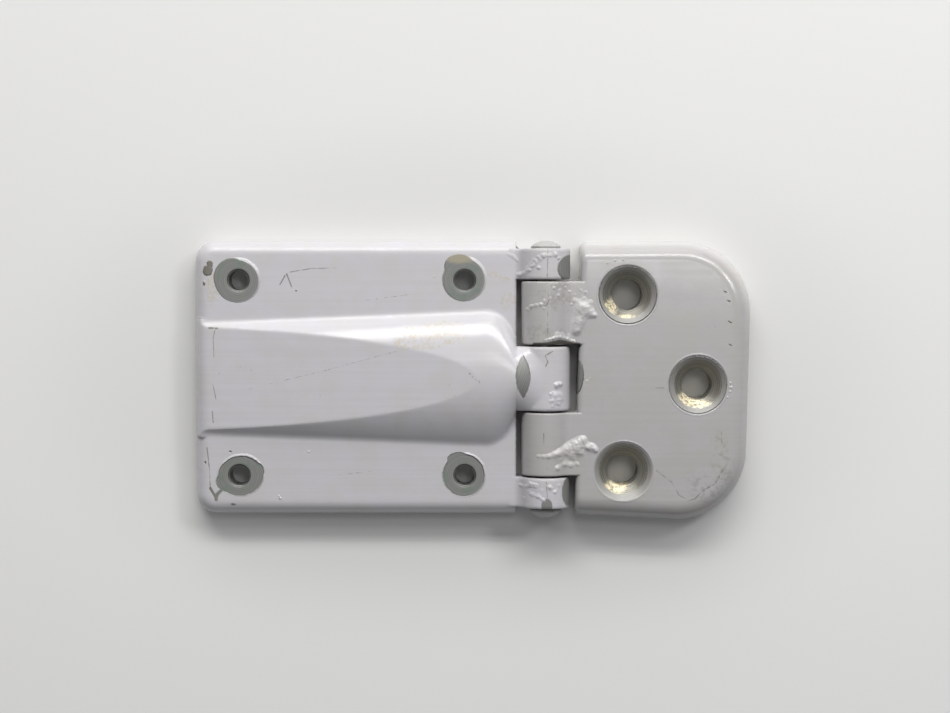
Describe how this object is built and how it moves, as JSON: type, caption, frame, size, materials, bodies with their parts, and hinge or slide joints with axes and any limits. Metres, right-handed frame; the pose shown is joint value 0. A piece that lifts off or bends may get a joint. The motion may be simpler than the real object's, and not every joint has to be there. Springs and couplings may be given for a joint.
{
  "type": "aircraft door hinge",
  "caption": "Painted two-leaf aircraft door hinge with interlocking knuckles on one riveted pin, a flat leaf with a tapered fairing ridge and a thick round-cornered leaf.",
  "frame": {"origin": "middle of the four rivet holes, on the flat back of the fixed leaf", "axes": "+Z out of the painted front, +X from the fixed leaf to the door leaf, the pin along Y; the hinge lies closed on its back"},
  "size_m": [0.0903, 0.0455, 0.0084],
  "materials": {
    "white_paint": "worn glossy white paint over aluminium, bare round the fastener holes and in small chips",
    "pin_metal": "steel pin, its two domed heads painted over in greyish white"
  },
  "bodies": {
    "fixed_side": {"fixed_leaf": "white_paint", "hinge_pin": "pin_metal"},
    "door_side": {"door_leaf": "white_paint"}
  },
  "joints": [
    {"name": "door_swing", "type": "hinge", "parent": "fixed_side", "child": "door_side", "pos_m": [0.0315, 0, 0.00407], "axis": [0, -1, 0], "range_deg": [0, 108]}
  ]
}
